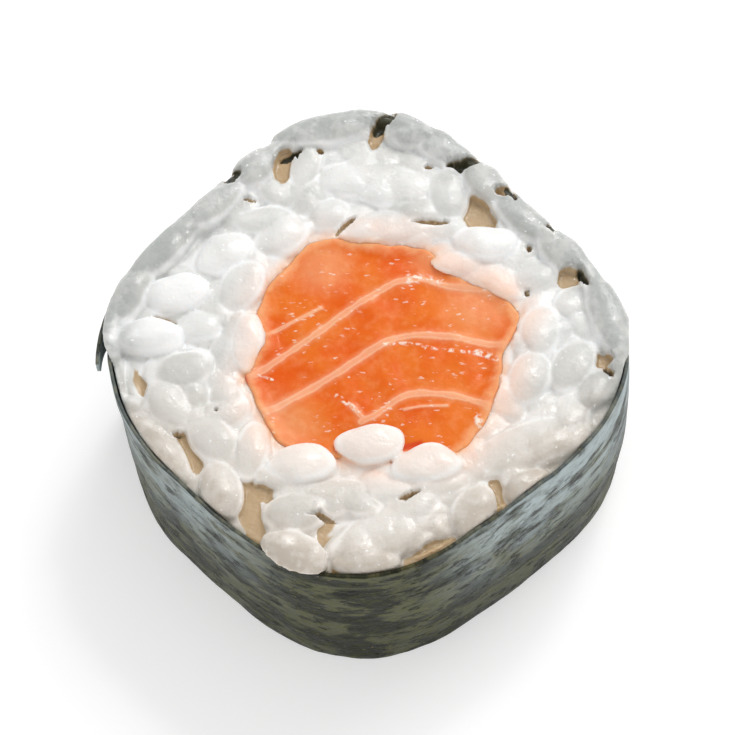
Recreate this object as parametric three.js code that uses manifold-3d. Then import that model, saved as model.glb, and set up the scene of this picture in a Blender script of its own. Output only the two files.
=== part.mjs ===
// Salmon maki roll: one slice of a rolled sushi, standing on its cut end.
// A sheet of nori is wrapped round a ring of rice, and a slab of salmon runs through the middle.
// Millimetres, +Z up. The origin is the middle of the footprint, on the surface below the roll.
// The roll was pressed square, with its rounded corners on the X and Y axes.
import * as THREE from 'three';
import { mergeVertices } from 'three/addons/utils/BufferGeometryUtils.js';
import Module from 'manifold-3d';

const wasm = await Module();
wasm.setup();
const degrees = Math.PI / 180;

// Driving dimensions of the whole roll
const rollRadius = 17.5; // mean radius of the section, 35 mm across
const rollHeight = 16.1; // from cut end to cut end at the nori, on average
const gap = 0.3; // clear space between neighbouring pieces

// The section's outline: what each wave adds, as a share of the radius, and where it is highest
const sectionWaves = [
  { count: 4, share: 0.0595, crest: 0 }, // four rounded corners
  { count: 3, share: 0.0195, crest: 97 * degrees }, // fuller at the back than at the front
  { count: 2, share: 0.0129, crest: 166 * degrees }, // a little wider than deep
];

// Nori: one sheet that overlaps itself at the left corner
const nori = {
  thickness: 0.4,
  innerEnd: 150 * degrees, // where the sheet starts, under its own outer end
  outerEnd: 187 * degrees, // where it ends on the outside, at the top edge
  tear: 11 * degrees, // how much sooner it ends below the torn top corner
  tearFrom: 0.95, // where the torn corner starts, as a share of the height
  tearTo: 0.72,
  lapStep: 0.6, // how far the covered start lies inside the outline
  lapFade: 28 * degrees, // how soon it is back out at the outline
  lift: 0.5, // the loose end stands off this much
  liftSpan: 16 * degrees,
  bulge: 0.3, // the right side swells between its edges
  alongSteps: 100,
  upSteps: 6,
};

// Waves of the nori's top edge: height, waves per turn, and angle of a crest
const edgeWaves = [
  { height: 0.2, count: 1, crest: 270 * degrees }, // the front edge stands higher than the back
  { height: 0.16, count: 3, crest: 200 * degrees },
  { height: 0.1, count: 7, crest: 40 * degrees },
];

// Salmon: a slab that shows at both cut ends
const salmon = {
  x: 1.2,
  y: -0.3,
  top: 15.6,
  crown: 0.2, // the cut face swells this much at its middle
  edge: 0.4, // rounding of the slab's cut edges
  // reach from the middle, every 15 degrees from +X towards +Y
  reaches: [
    9.0, 10.3, 9.5, 8.1, 8.2, 8.4, 8.2, 8.9, 9.7, 9.3, 9.3, 9.1,
    8.3, 9.7, 9.6, 10.0, 9.8, 9.0, 8.7, 9.0, 9.9, 9.8, 9.4, 9.0,
  ],
};

// Rice: a core, and the grains that show at the two cut ends
const riceCore = { bottom: 0.6, top: 15.1, sides: 72 };
const grainHeight = 0.82; // height of a grain as a share of its width
const grainKinds = {
  proud: { length: 4.3, width: 3.0, top: 17.2 },
  plump: { length: 4.1, width: 3.2, top: 16.8 },
  slim: { length: 4.2, width: 2.4, top: 16.6 },
  short: { length: 3.2, width: 2.8, top: 16.5 },
  pressed: { length: 7.4, width: 2.9, top: 16.5 }, // two grains pressed into one
  slab: { length: 9.0, width: 4.2, top: 16.7 }, // several grains pressed into one
  rim: { length: 4, width: 2.6, top: 17.0 }, // leaning on the nori's edge
  tucked: { length: 3.8, width: 2.8, top: 16.2 }, // half hidden between the others
  foot: { length: 4.2, width: 3.1, top: 2.2 }, // pressed flat on the bottom cut
};

// Grains laid on the top cut, each [x, y, turn in degrees]
const laidGrains = {
  slab: [[11.8, -7.9, 22], [2.4, -14.4, 28], [0.6, 12.9, -12]],
  pressed: [
    [-14.2, -8, -52], [1.8, 9.4, 0], [8.4, 6, -28], [-1.5, -11.9, 0], [4.4, -11.2, 12],
  ],
  proud: [
    [-3.9, -9.6, 8], [0.9, -8.1, 5], [4.8, -9.5, 10], [8.6, 7.8, -5],
    [-4, -16.2, -22], [-15.2, 0, 5], [-13.4, 3.4, 15],
  ],
  plump: [
    [-9.3, -11.6, -70], [8.2, -13, 75], [-13.4, -5.3, -58], [-10.2, -7.8, -50],
    [-12.5, -2.6, 15], [-10.2, 6.8, 35], [-6.1, 8.3, 35], [-8.8, 4.2, 60],
    [5.9, 11.9, 95], [12.6, 0.9, 80], [11.9, -2.7, 70], [14.9, -1.7, 60],
  ],
  slim: [
    [-8.2, -0.2, 88], [-4.3, -13.6, 0], [-7.3, -8.7, 80], [-7.4, 9.6, 10],
    [-4.6, 14.3, 80], [0.9, -16.7, 5],
  ],
  short: [
    [16.5, -3.6, 60], [11.7, -10.9, 50], [-11.6, 1, 0], [-2.8, 10.2, 20],
    [12.2, 5.3, 30], [15, 3.3, 40],
  ],
};

// Grains along the back of the rim, each [angle round the roll in degrees, length]
const rimGrains = [
  [7, 5.6], [26, 4.2], [42, 4.6], [56, 3.8], [71, 3.6], [81, 3.2],
  [99, 7.4], [120, 3.4], [136, 4.4], [153, 6.5], [169, 4.8],
];
const rimOverhang = 0.2; // how far they reach past the outline

// Places on the top cut where the rice is left open, each [x, y]
const openings = [
  [-6.1, 14.6], [0.5, 17.2], [7.7, 10.4], [14.6, 5.3], [17.2, -1.4], [-15.8, -3.6], [-11.9, -8.3],
  [-6.9, -12.4], [-2, -14.9], [-1, -17.2], [6.5, -15.6], [9.9, -11.3], [6.9, 14.1], [10, 11.6], [13, 9],
  [-9.6, 12.6],
];
const openingReach = 1.8; // no grain's middle comes closer to one than this

// Grains added by chance between the laid ones and over the whole bottom cut
const tuckedGrains = { seed: 7, tries: 3000, spacing: 2.3, margin: 0.4, lift: 0.3 };
const footGrains = { seed: 11, tries: 4000, spacing: 2.8, margin: 0.8, lift: 0.2 };

// A repeatable random draw from 0 to 1
function makeDraw(seed) {
  const range = 4294967296;
  let state = seed;
  return () => {
    state = (state * 1664525 + 1013904223) % range;
    return state / range;
  };
}

function smoothStep(from, to, value) {
  const share = Math.min(Math.max((value - from) / (to - from), 0), 1);
  return share * share * (3 - 2 * share);
}

// Angle of a point round the axis, from 0 to a full turn
function turnOf(x, y) {
  const angle = Math.atan2(y, x);
  return angle < 0 ? angle + 2 * Math.PI : angle;
}

function rollReach(angle) {
  const waves = sectionWaves.map((wave) => wave.share * Math.cos(wave.count * (angle - wave.crest)));
  return rollRadius * waves.reduce((sum, wave) => sum + wave, 1);
}

function edgeRise(angle) {
  const waves = edgeWaves.map((wave) => wave.height * Math.cos(wave.count * (angle - wave.crest)));
  return waves.reduce((sum, wave) => sum + wave, 0);
}

// The salmon's outline as a smooth closed curve through its reaches
function salmonReach(angle) {
  const { reaches } = salmon;
  const place = (angle / (2 * Math.PI)) * reaches.length;
  const step = Math.floor(place);
  const [before, here, next, after] = [-1, 0, 1, 2].map(
    (offset) => reaches[(step + offset + reaches.length) % reaches.length],
  );
  const t = place - step;
  const bend = 2 * before - 5 * here + 4 * next - after;
  const twist = 3 * here - before - 3 * next + after;
  return here + 0.5 * t * (next - before + t * (bend + t * twist));
}

// How much of the lap step the sheet and the rice under it keep at this angle
function lapShare(angle) {
  const leaving = smoothStep(nori.outerEnd, nori.outerEnd + nori.lapFade, angle);
  return 1 - leaving;
}

// Outside of the rice, just inside the innermost layer of nori
function riceReach(angle) {
  const entering = smoothStep(nori.innerEnd - 0.4 * nori.lapFade, nori.innerEnd, angle);
  const lap = nori.lapStep * entering * lapShare(angle);
  return rollReach(angle) - nori.thickness - gap - lap;
}

function mapVertices(geometry, move) {
  const { position } = geometry.attributes;
  for (let i = 0; i < position.count; i++) {
    const [x, y, z] = move(position.getX(i), position.getY(i), position.getZ(i));
    position.setXYZ(i, x, y, z);
  }
  geometry.deleteAttribute('normal');
  geometry.deleteAttribute('uv');
  return mergeVertices(geometry, 1e-5);
}

// A flat sheet, curled once round the roll and on over its own start
function noriSheet() {
  const { thickness, alongSteps, upSteps } = nori;
  const flat = new THREE.BoxGeometry(1, thickness, 1, alongSteps, 1, upSteps);
  const fullTurn = 2 * Math.PI;
  return mapVertices(flat, (along, depth, up) => {
    const share = up + 0.5;
    const torn = 1 - smoothStep(nori.tearTo, nori.tearFrom, share);
    const end = fullTurn + nori.outerEnd - nori.tear * torn;
    const angle = nori.innerEnd + (along + 0.5) * (end - nori.innerEnd);
    const lap = nori.lapStep * lapShare(angle);
    const loose = Math.max(angle - (end - nori.liftSpan), 0) / nori.liftSpan;
    const bulge = nori.bulge * Math.sin(Math.PI * share) * Math.max(Math.cos(angle), 0);
    const radius = rollReach(angle) - lap + nori.lift * loose ** 2 + bulge - (depth + thickness / 2);
    return [radius * Math.cos(angle), radius * Math.sin(angle), share * (rollHeight + edgeRise(angle))];
  });
}

// A body of revolution whose profile is then pushed out to a reach that changes with the angle
function turnedTo(profile, sides, reachAt, centre) {
  const points = profile.map(([share, z]) => new THREE.Vector2(share, z));
  const turned = new THREE.LatheGeometry(points, sides);
  turned.rotateX(Math.PI / 2);
  return mapVertices(turned, (x, y, z) => {
    const angle = turnOf(x, y);
    const radius = Math.hypot(x, y) * reachAt(angle);
    return [centre.x + radius * Math.cos(angle), centre.y + radius * Math.sin(angle), z];
  });
}

function salmonSlab() {
  const { edge, top, crown } = salmon;
  const inset = 1 - edge / 9;
  const profile = [
    [0, 0], [inset, 0], [1, edge], [1, top / 2], [1, top - edge],
    [inset, top], [0.7, top + crown * 0.6], [0.35, top + crown * 0.9], [0, top + crown],
  ];
  return turnedTo(profile, 60, salmonReach, salmon);
}

// The room that the salmon takes out of the rice, with its gap
function salmonRoom() {
  const top = salmon.top + salmon.crown + gap;
  const profile = [[0, -1], [1, -1], [1, top], [0, top]];
  return turnedTo(profile, 60, (angle) => salmonReach(angle) + gap, salmon);
}

// The room that the nori and everything outside it takes, with its gap
function noriRoom() {
  const outside = 1.4;
  const profile = [[1, -1], [outside, -1], [outside, rollHeight + gap], [1, rollHeight + gap], [1, -1]];
  const room = turnedTo(profile, riceCore.sides, riceReach, { x: 0, y: 0 });
  return mapVertices(room, (x, y, z) => [x, y, z > 0 ? z + edgeRise(turnOf(x, y)) : z]);
}

function riceBody() {
  const { bottom, top, sides } = riceCore;
  const profile = [[0, bottom], [1, bottom], [1, top], [0, top]];
  return turnedTo(profile, sides, riceReach, { x: 0, y: 0 });
}

function riceGrain({ kind, x, y, turn, length = grainKinds[kind].length, lift = 0, tilt = 0 }) {
  const { width, top } = grainKinds[kind];
  const height = width * grainHeight;
  const grain = new THREE.SphereGeometry(0.53, 6, 4);
  grain.rotateZ(Math.PI / 2);
  grain.scale(length, width, height);
  grain.rotateY(tilt);
  grain.rotateZ(turn);
  grain.translate(x, y, top + lift - height / 2);
  return mapVertices(grain, (px, py, pz) => [px, py, pz]);
}

// Whether a point lies in the ring of rice, this far from the nori and the salmon
function inRice(x, y, margin) {
  const toSalmon = Math.hypot(x - salmon.x, y - salmon.y);
  const salmonEdge = salmonReach(turnOf(x - salmon.x, y - salmon.y));
  return toSalmon > salmonEdge + margin && Math.hypot(x, y) < riceReach(turnOf(x, y)) - margin;
}

// Grains dropped at random places that keep their distance from those already there
// and stay off the places that are kept open
function scatterGrains(kind, { seed, tries, spacing, margin, lift }, taken, kept) {
  const draw = makeDraw(seed);
  const added = [];
  for (let i = 0; i < tries; i++) {
    const x = (2 * draw() - 1) * rollRadius * 1.1;
    const y = (2 * draw() - 1) * rollRadius * 1.1;
    const turn = draw() * Math.PI;
    const rise = (draw() - 0.5) * lift;
    const tilt = (draw() - 0.5) * 0.4;
    const clear = [...taken, ...added].every((grain) => Math.hypot(grain.x - x, grain.y - y) > spacing);
    const open = kept.some((place) => Math.hypot(place[0] - x, place[1] - y) < openingReach);
    if (clear && !open && inRice(x, y, margin)) {
      added.push({ kind, x, y, turn, lift: rise, tilt });
    }
  }
  return added;
}

// Point this far inside the outline
function besideOutline(angle, inset) {
  const radius = rollReach(angle) - inset;
  return [radius * Math.cos(angle), radius * Math.sin(angle)];
}

// A grain that lies along the outline and reaches past it
function rimGrain([angleInDegrees, length]) {
  const angle = angleInDegrees * degrees;
  const inset = grainKinds.rim.width / 2 - rimOverhang;
  const [x, y] = besideOutline(angle, inset);
  const [beforeX, beforeY] = besideOutline(angle - degrees, inset);
  return { kind: 'rim', x, y, length, turn: Math.atan2(y - beforeY, x - beforeX) };
}

function laidGrainList() {
  const laid = Object.entries(laidGrains).flatMap(
    ([kind, places]) => places.map(([x, y, turn]) => ({ kind, x, y, turn: turn * degrees })),
  );
  return [...laid, ...rimGrains.map(rimGrain)];
}

function toSolid(geometry) {
  const vertProperties = new Float32Array(geometry.attributes.position.array);
  const triVerts = new Uint32Array(geometry.index.array);
  return new wasm.Manifold(new wasm.Mesh({ numProp: 3, vertProperties, triVerts }));
}

function toGeometry(solid) {
  const { vertProperties, triVerts } = solid.getMesh();
  const geometry = new THREE.BufferGeometry();
  geometry.setAttribute('position', new THREE.BufferAttribute(vertProperties, 3));
  geometry.setIndex(new THREE.BufferAttribute(triVerts, 1));
  return geometry;
}

// The one body that holds together: loose scraps are dropped and shut hollows filled
function largestBody(solid) {
  return solid.decompose().reduce((best, body) => (body.volume() > best.volume() ? body : best));
}

// The core with its grains fused on, cut clear of the salmon, the nori and the surface below
function riceHeap() {
  const laid = laidGrainList();
  const grains = [
    ...laid,
    ...scatterGrains('tucked', tuckedGrains, laid, openings),
    ...scatterGrains('foot', footGrains, [], []),
  ];
  let heap = toSolid(riceBody());
  for (const grain of grains) {
    heap = heap.add(toSolid(riceGrain(grain)));
  }
  const below = new THREE.BoxGeometry(60, 60, 10).translate(0, 0, -5);
  const floorRoom = toSolid(mapVertices(below, (x, y, z) => [x, y, z]));
  for (const room of [toSolid(salmonRoom()), toSolid(noriRoom()), floorRoom]) {
    heap = heap.subtract(room);
  }
  return toGeometry(largestBody(heap));
}

function noriMaterial() {
  return new THREE.MeshStandardMaterial({ color: 0x3c4034, roughness: 0.45, metalness: 0 });
}

function riceMaterial() {
  return new THREE.MeshStandardMaterial({ color: 0xe9eaea, roughness: 0.35, metalness: 0 });
}

function salmonMaterial() {
  return new THREE.MeshStandardMaterial({ color: 0xec7838, roughness: 0.3, metalness: 0 });
}

function namedMesh(name, geometry, material) {
  geometry.computeVertexNormals();
  const mesh = new THREE.Mesh(geometry, material);
  mesh.name = name;
  return mesh;
}

const roll = new THREE.Group();
roll.add(namedMesh('nori', noriSheet(), noriMaterial()));
roll.add(namedMesh('rice', riceHeap(), riceMaterial()));
roll.add(namedMesh('salmon', salmonSlab(), salmonMaterial()));

export default roll;
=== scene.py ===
import math

import bmesh
import bpy
import numpy
from mathutils import Matrix, Vector, kdtree, noise


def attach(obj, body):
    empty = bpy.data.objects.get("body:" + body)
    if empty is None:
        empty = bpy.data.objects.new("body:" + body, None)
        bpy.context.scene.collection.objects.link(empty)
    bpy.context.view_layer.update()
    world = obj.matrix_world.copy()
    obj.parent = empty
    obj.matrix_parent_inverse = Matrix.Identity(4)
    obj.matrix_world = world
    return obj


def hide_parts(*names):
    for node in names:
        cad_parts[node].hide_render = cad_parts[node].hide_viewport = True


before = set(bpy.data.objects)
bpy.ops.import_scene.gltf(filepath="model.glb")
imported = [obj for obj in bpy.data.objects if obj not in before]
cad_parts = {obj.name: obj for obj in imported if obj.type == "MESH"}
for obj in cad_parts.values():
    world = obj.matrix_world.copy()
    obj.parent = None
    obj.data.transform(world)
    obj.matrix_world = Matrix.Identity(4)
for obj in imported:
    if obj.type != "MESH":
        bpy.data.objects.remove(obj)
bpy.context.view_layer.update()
scene = bpy.context.scene
mm = 0.001  # the pieces are shaped in millimetres and scaled to metres when they are done
fullTurn = 2 * math.pi
print("frame loaded")


# camera
cameraSetup = {
    "azimuth": 6.6,
    "elevation": 63.6,
    "distance": 192.7,
    "aimHeight": 16.3,  # the middle of the top cut
    "lens": 133.35,
    "sensor": 36,
    "clipStart": 0.01,
    "roll": -4.99,
    "shift": (0.0058, -0.039),  # the roll stands a little above the middle of the photograph
}


def makeCamera():
    setup = cameraSetup
    azimuth, elevation = math.radians(setup["azimuth"]), math.radians(setup["elevation"])
    away = Vector((
        math.sin(azimuth) * math.cos(elevation),
        -math.cos(azimuth) * math.cos(elevation),
        math.sin(elevation),
    ))
    camera = bpy.data.objects.new("camera", bpy.data.cameras.new("camera"))
    scene.collection.objects.link(camera)
    turn = away.to_track_quat("Z", "Y").to_matrix().to_4x4()
    roll = Matrix.Rotation(math.radians(setup["roll"]), 4, "Z")
    aim = Vector((0, 0, setup["aimHeight"] * mm))
    camera.matrix_world = Matrix.Translation(aim + away * setup["distance"] * mm) @ turn @ roll
    camera.data.lens = setup["lens"]
    camera.data.sensor_width = setup["sensor"]
    camera.data.shift_x, camera.data.shift_y = setup["shift"]
    camera.data.clip_start = setup["clipStart"]
    scene.camera = camera


makeCamera()


# the roll's own shape
rollShape = {
    "radius": 17.5,
    "height": 16.1,
    "gap": 0.3,
    "noriRoom": 0.4,  # thickness that the wrap takes out of the section
    # waves a turn, share or height, crest in degrees
    "sectionWaves": ((4, 0.0595, 0), (3, 0.0195, 97), (2, 0.0129, 166)),
    "edgeWaves": ((1, 0.2, 270), (3, 0.16, 200), (7, 0.1, 40)),
}


def smoothStep(low, high, value):
    share = min(max((value - low) / (high - low), 0), 1)
    return share * share * (3 - 2 * share)


def waveSum(waves, angle):
    return sum(size * math.cos(count * (angle - math.radians(crest))) for count, size, crest in waves)


def rollReach(angle):
    return rollShape["radius"] * (1 + waveSum(rollShape["sectionWaves"], angle))


def edgeHeight(angle):
    return rollShape["height"] + waveSum(rollShape["edgeWaves"], angle)


def turnOf(x, y):
    return math.atan2(y, x) % fullTurn


def polarOf(place):
    return turnOf(place.x, place.y), math.hypot(place.x, place.y)


def onCircle(angle, radius):
    return radius * math.cos(angle), radius * math.sin(angle)


def alongAcross(x, y, turn):
    # x and y in the directions of something turned by turn
    return x * math.cos(turn) + y * math.sin(turn), y * math.cos(turn) - x * math.sin(turn)


def ringNoise(angle, waves, layer):
    # unevenness that closes on itself round the roll
    return noise.noise(Vector((math.cos(angle) * waves, math.sin(angle) * waves, layer)))


def onCurve(before, here, after, beyond, t):
    # point of the smooth curve between here and after
    bend = 2 * before - 5 * here + 4 * after - beyond
    twist = 3 * here - before - 3 * after + beyond
    return here + 0.5 * t * (after - before + t * (bend + t * twist))


def spinProfile(bm, profile, steps, closed=True):
    # a line of points in the XZ plane is spun once round Z
    line = [bm.verts.new((x, 0, z)) for x, z in profile]
    edges = [bm.edges.new((line[i - 1], line[i])) for i in range(0 if closed else 1, len(line))]
    before = set(bm.verts) - set(line)
    bmesh.ops.spin(
        bm, geom=line + edges, cent=(0, 0, 0), axis=(0, 0, 1),
        angle=fullTurn, steps=steps, use_merge=True, use_duplicate=False,
    )
    return set(bm.verts) - before


def finishPiece(bm, name, material, slotName, *nodes):
    # millimetres to metres, and the piece is shown in the place of its nodes
    bmesh.ops.scale(bm, vec=(mm, mm, mm), verts=bm.verts)
    mesh = bpy.data.meshes.new(name)
    bm.to_mesh(mesh)
    bm.free()
    piece = bpy.data.objects.new(name, mesh)
    scene.collection.objects.link(piece)
    mesh.shade_smooth()
    mesh.materials.append(material)
    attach(piece, "root")
    if nodes:
        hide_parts(*nodes)
    return piece


def applyModifiers(piece):
    bpy.context.view_layer.update()
    shaped = piece.evaluated_get(bpy.context.evaluated_depsgraph_get())
    mesh = bpy.data.meshes.new_from_object(shaped)
    piece.modifiers.clear()
    piece.data = mesh
    mesh.shade_smooth()


def writeAttribute(piece, name, values):
    layer = piece.data.attributes.new(name, "FLOAT", "POINT")
    layer.data.foreach_set("value", values)


# shader groups
def newGroup(name, values, outputName):
    group = bpy.data.node_groups.new(name, "ShaderNodeTree")
    group.interface.new_socket("Vector", in_out="INPUT", socket_type="NodeSocketVector")
    for label, value in values.items():
        socket = group.interface.new_socket(label, in_out="INPUT", socket_type="NodeSocketFloat")
        socket.default_value = value
    group.interface.new_socket(outputName, in_out="OUTPUT", socket_type="NodeSocketFloat")
    return group, group.nodes.new("NodeGroupInput"), group.nodes.new("NodeGroupOutput")


def addNode(tree, kind, **settings):
    node = tree.nodes.new(kind)
    for key, value in settings.items():
        setattr(node, key, value)
    return node


def setSockets(node, **values):
    for label, value in values.items():
        node.inputs[label.replace("_", " ")].default_value = value


def mathNode(tree, operation, first, second=None, clamp=False):
    node = addNode(tree, "ShaderNodeMath", operation=operation, use_clamp=clamp)
    for socket, value in zip(node.inputs, (first, second)):
        if value is None:
            continue
        if isinstance(value, (int, float)):
            socket.default_value = value
        else:
            tree.links.new(value, socket)
    return node.outputs[0]


def multiply(tree, first, second, clamp=False):
    return mathNode(tree, "MULTIPLY", first, second, clamp)


def add(tree, first, second, clamp=False):
    return mathNode(tree, "ADD", first, second, clamp)


def rangeNode(tree, value, low, high, newLow=0.0, newHigh=1.0):
    node = addNode(tree, "ShaderNodeMapRange", interpolation_type="SMOOTHSTEP")
    tree.links.new(value, node.inputs["Value"])
    setSockets(node, From_Min=low, From_Max=high, To_Min=newLow, To_Max=newHigh)
    return node.outputs["Result"]


def colourMix(tree, mask, first, second):
    # first and second are colours or sockets, mask is a socket
    node = addNode(tree, "ShaderNodeMix", data_type="RGBA")
    tree.links.new(mask, node.inputs["Factor"])
    for label, value in (("A", first), ("B", second)):
        socket = [s for s in node.inputs if s.name == label and s.type == "RGBA"][0]
        if isinstance(value, (tuple, list)):
            socket.default_value = (*value, 1)
        else:
            tree.links.new(value, socket)
    return [s for s in node.outputs if s.type == "RGBA"][0]


def paint(tree, look, colour, **masks):
    # every mask lays the look's colour of its name over the ones before
    for name, mask in masks.items():
        colour = colourMix(tree, mask, colour, look[name])
    return colour


def makeMottleGroup():
    # soft cloudy mask, 0 to 1
    group, start, end = newGroup(
        "mottle", {"Scale": 300, "Low": 0.4, "High": 0.6, "Detail": 4, "Roughness": 0.5}, "Mask",
    )
    cloud = addNode(group, "ShaderNodeTexNoise")
    for label in ("Vector", "Scale", "Detail", "Roughness"):
        group.links.new(start.outputs[label], cloud.inputs[label])
    spread = addNode(group, "ShaderNodeMapRange", interpolation_type="SMOOTHSTEP")
    group.links.new(cloud.outputs[0], spread.inputs["Value"])
    group.links.new(start.outputs["Low"], spread.inputs["From Min"])
    group.links.new(start.outputs["High"], spread.inputs["From Max"])
    group.links.new(spread.outputs["Result"], end.inputs["Mask"])
    return group


speckShape = {"cloud": 1.4, "pull": 1.2, "sharpness": 12.0}


def makeSpeckGroup():
    # small spots, one where a cell's own random number is under Share
    group, start, end = newGroup("specks", {"Scale": 1500, "Size": 0.25, "Share": 0.2}, "Mask")
    cells = addNode(group, "ShaderNodeTexVoronoi")
    cloud = addNode(group, "ShaderNodeTexNoise")
    group.links.new(start.outputs["Vector"], cloud.inputs["Vector"])
    cloudScale = multiply(group, start.outputs["Scale"], speckShape["cloud"])
    group.links.new(cloudScale, cloud.inputs["Scale"])
    group.links.new(start.outputs["Scale"], cells.inputs["Scale"])
    # the noise pulls the spots out of round
    pull = addNode(group, "ShaderNodeVectorMath", operation="SCALE")
    group.links.new(cloud.outputs["Color"], pull.inputs[0])
    pullSize = mathNode(group, "DIVIDE", speckShape["pull"], start.outputs["Scale"])
    group.links.new(pullSize, pull.inputs["Scale"])
    pulled = addNode(group, "ShaderNodeVectorMath", operation="ADD")
    group.links.new(start.outputs["Vector"], pulled.inputs[0])
    group.links.new(pull.outputs[0], pulled.inputs[1])
    group.links.new(pulled.outputs[0], cells.inputs["Vector"])
    near = mathNode(group, "SUBTRACT", start.outputs["Size"], cells.outputs["Distance"])
    spot = multiply(group, near, speckShape["sharpness"], clamp=True)
    parts = addNode(group, "ShaderNodeSeparateColor")
    group.links.new(cells.outputs["Color"], parts.inputs[0])
    chosen = mathNode(group, "LESS_THAN", parts.outputs[0], start.outputs["Share"])
    group.links.new(multiply(group, spot, chosen), end.inputs["Mask"])
    return group


def makeReliefGroup():
    # two sizes of unevenness, as a height
    group, start, end = newGroup(
        "relief",
        {"Broad Scale": 400, "Broad Height": 1, "Fine Scale": 2500, "Fine Height": 0.3},
        "Height",
    )
    sums = []
    for size in ("Broad", "Fine"):
        cloud = addNode(group, "ShaderNodeTexNoise")
        cloud.inputs["Detail"].default_value = 3
        group.links.new(start.outputs["Vector"], cloud.inputs["Vector"])
        group.links.new(start.outputs[size + " Scale"], cloud.inputs["Scale"])
        sums.append(multiply(group, cloud.outputs[0], start.outputs[size + " Height"]))
    group.links.new(add(group, *sums), end.inputs["Height"])
    return group


mottleGroup = makeMottleGroup()
speckGroup = makeSpeckGroup()
reliefGroup = makeReliefGroup()


def useGroup(tree, group, vector, **values):
    node = addNode(tree, "ShaderNodeGroup", node_tree=group)
    tree.links.new(vector, node.inputs["Vector"])
    setSockets(node, **values)
    return node.outputs[0]


def mottle(tree, vector, scale, low, high, **more):
    return useGroup(tree, mottleGroup, vector, Scale=scale, Low=low, High=high, **more)


def specks(tree, vector, scale, size, share):
    return useGroup(tree, speckGroup, vector, Scale=scale, Size=size, Share=share)


def relief(tree, vector, broadScale, fineScale, fineHeight, broadHeight=1):
    return useGroup(
        tree, reliefGroup, vector, Broad_Scale=broadScale, Broad_Height=broadHeight,
        Fine_Scale=fineScale, Fine_Height=fineHeight,
    )


def newMaterial(name):
    material = bpy.data.materials.new(name)
    material.use_nodes = True
    tree = material.node_tree
    tree.nodes.clear()
    output = addNode(tree, "ShaderNodeOutputMaterial")
    shader = addNode(tree, "ShaderNodeBsdfPrincipled")
    tree.links.new(shader.outputs[0], output.inputs[0])
    return material, tree, shader


def objectPlace(tree):
    return addNode(tree, "ShaderNodeTexCoord").outputs["Object"]


def attributeValue(tree, name):
    return addNode(tree, "ShaderNodeAttribute", attribute_name=name).outputs["Fac"]


def axesOf(tree, vector):
    parts = addNode(tree, "ShaderNodeSeparateXYZ")
    tree.links.new(vector, parts.inputs[0])
    return parts.outputs


def stretch(tree, vector, scale, turn=0):
    node = addNode(tree, "ShaderNodeMapping")
    node.inputs["Scale"].default_value = (*scale, 1)
    node.inputs["Rotation"].default_value = (0, 0, math.radians(turn))
    tree.links.new(vector, node.inputs["Vector"])
    return node.outputs[0]


def bumpFrom(tree, shader, height, distance, strength):
    bump = addNode(tree, "ShaderNodeBump")
    setSockets(bump, Distance=distance, Strength=strength)
    tree.links.new(height, bump.inputs["Height"])
    tree.links.new(bump.outputs[0], shader.inputs["Normal"])


print("shader groups made")


# rice
riceLook = {
    "white": (0.93, 0.93, 0.925),
    # painted glints
    "glint": (1, 1, 1),
    "warm": (0.86, 0.80, 0.735),  # painted shade on the front, where the light comes through less
    "clear": (0.68, 0.665, 0.63),  # the middle of a grain, seen into
    "grey": (0.45, 0.465, 0.45),  # clear grains against the nori
    "beige": (0.56, 0.50, 0.43),  # the same in front, with the painted front shade
    "pink": (0.90, 0.70, 0.60),  # stained by the salmon
    "peach": (0.90, 0.50, 0.28),  # where the salmon shows through
    "tan": (0.52, 0.375, 0.215),  # painted shade down in the gaps between grains
    "dark": (0.08, 0.077, 0.045),  # painted shade on the rice, as dark as the nori: down in the rim gaps and low beside the wrap
    "warmFrom": 0,  # along Y, in millimetres, where the painted front shade starts and where it is full
    "warmTo": -10,
    "warmth": 0.35,
    "clearWarmth": 0.85,  # how much more painted front shade a clear middle takes
    "bits": (0.72, 0.55),  # least share of the grey, and how much its bits vary
    "cloud": 0.15,
    "rimGrey": 0.6,
    "middleGrey": 0.5,
    "glints": 0.6,
    "relief": 0.12,  # millimetres
    "scatter": (1.0, 0.9, 0.85),
    "scatterDepth": 0.45,  # millimetres
}


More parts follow.
